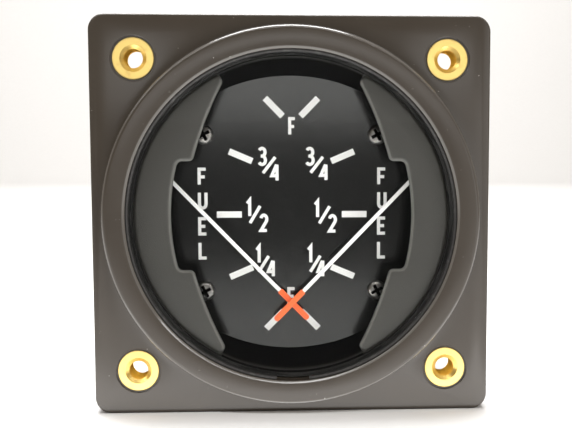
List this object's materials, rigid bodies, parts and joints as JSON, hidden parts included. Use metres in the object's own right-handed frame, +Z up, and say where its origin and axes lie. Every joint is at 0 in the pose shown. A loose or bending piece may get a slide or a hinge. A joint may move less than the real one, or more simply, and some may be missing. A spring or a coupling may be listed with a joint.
{
  "type": "aircraft dual fuel gauge",
  "caption": "Square-flanged panel gauge with crossed needles, each on its own moving-coil movement, under one round lens.",
  "frame": {"origin": "centre of the square flange's front face, the face that seats on the panel", "axes": "-Y out of the lens towards the reader, +Z up the dial, +X to the reader's right"},
  "size_m": [0.0604, 0.0563, 0.0604],
  "materials": {
    "bare_aluminium": "bare aluminium",
    "blackened_steel": "blackened steel",
    "blackened_wire": "blackened spring wire",
    "board_laminate": "brown glass laminate",
    "case_plastic": "moulded black thermoset, satin",
    "cast_zinc": "die cast zinc",
    "copper_winding": "enamelled copper wire",
    "dial_black": "semi-gloss black enamel on aluminium",
    "gasket_rubber": "black rubber",
    "hairspring_bronze": "phosphor bronze strip",
    "insert_brass": "turned brass",
    "lens_glass": "clear flat glass",
    "magnet_alloy": "ground magnet alloy",
    "mask_plastic": "fine textured matte black moulding",
    "movement_brass": "bare brass",
    "needle_paint": "white enamel with an orange red tip",
    "plated_steel": "zinc plated steel",
    "resistor_body": "lacquered ceramic",
    "soft_iron": "plated soft iron",
    "terminal_brass": "plated brass",
    "trimmer_plastic": "blue moulded plastic"
  },
  "bodies": {
    "case": {"calibration_trimmers": "trimmer_plastic", "case_body": "case_plastic", "circuit_board": "board_laminate", "dial_plate": "dial_black", "dial_screws": "blackened_steel", "flange_inserts": "insert_brass", "left_bridge_screws": "plated_steel", "left_core_magnet": "magnet_alloy", "left_core_pins": "movement_brass", "left_front_jewel_screw": "movement_brass", "left_movement_frame": "cast_zinc", "left_rear_anchor": "movement_brass", "left_rear_bridge": "cast_zinc", "left_rear_jewel_screw": "movement_brass", "left_yoke_ring": "soft_iron", "left_zero_lever": "movement_brass", "lens": "lens_glass", "lens_gasket": "gasket_rubber", "lens_retaining_ring": "blackened_wire", "pointer_mask": "mask_plastic", "right_bridge_screws": "plated_steel", "right_core_magnet": "magnet_alloy", "right_core_pins": "movement_brass", "right_front_jewel_screw": "movement_brass", "right_movement_frame": "cast_zinc", "right_rear_anchor": "movement_brass", "right_rear_bridge": "cast_zinc", "right_rear_jewel_screw": "movement_brass", "right_yoke_ring": "soft_iron", "right_zero_lever": "movement_brass", "scaling_resistors": "resistor_body", "terminal_lock_washers": "plated_steel", "terminal_nuts": "terminal_brass", "terminal_spacers": "terminal_brass", "terminal_studs": "terminal_brass", "terminal_washers": "plated_steel", "wire_nuts": "terminal_brass"},
    "left_needle_body": {"left_balance_cross": "movement_brass", "left_coil_former": "bare_aluminium", "left_coil_winding": "copper_winding", "left_front_hairspring": "hairspring_bronze", "left_needle": "needle_paint", "left_pivot_staffs": "plated_steel", "left_rear_hairspring": "hairspring_bronze"},
    "right_needle_body": {"right_balance_cross": "movement_brass", "right_coil_former": "bare_aluminium", "right_coil_winding": "copper_winding", "right_front_hairspring": "hairspring_bronze", "right_needle": "needle_paint", "right_pivot_staffs": "plated_steel", "right_rear_hairspring": "hairspring_bronze"}
  },
  "joints": [
    {"name": "left_needle_swing", "type": "hinge", "parent": "case", "child": "left_needle_body", "pos_m": [-0.0137, 0, 0], "axis": [0, -1, 0], "range_deg": [-2, 94], "stiffness_Nm_per_rad": 0.00003, "deforming": ["left_front_hairspring", "left_rear_hairspring"]},
    {"name": "right_needle_swing", "type": "hinge", "parent": "case", "child": "right_needle_body", "pos_m": [0.0137, 0, 0], "axis": [0, 1, 0], "range_deg": [-2, 94], "stiffness_Nm_per_rad": 0.00003, "deforming": ["right_front_hairspring", "right_rear_hairspring"]}
  ]
}
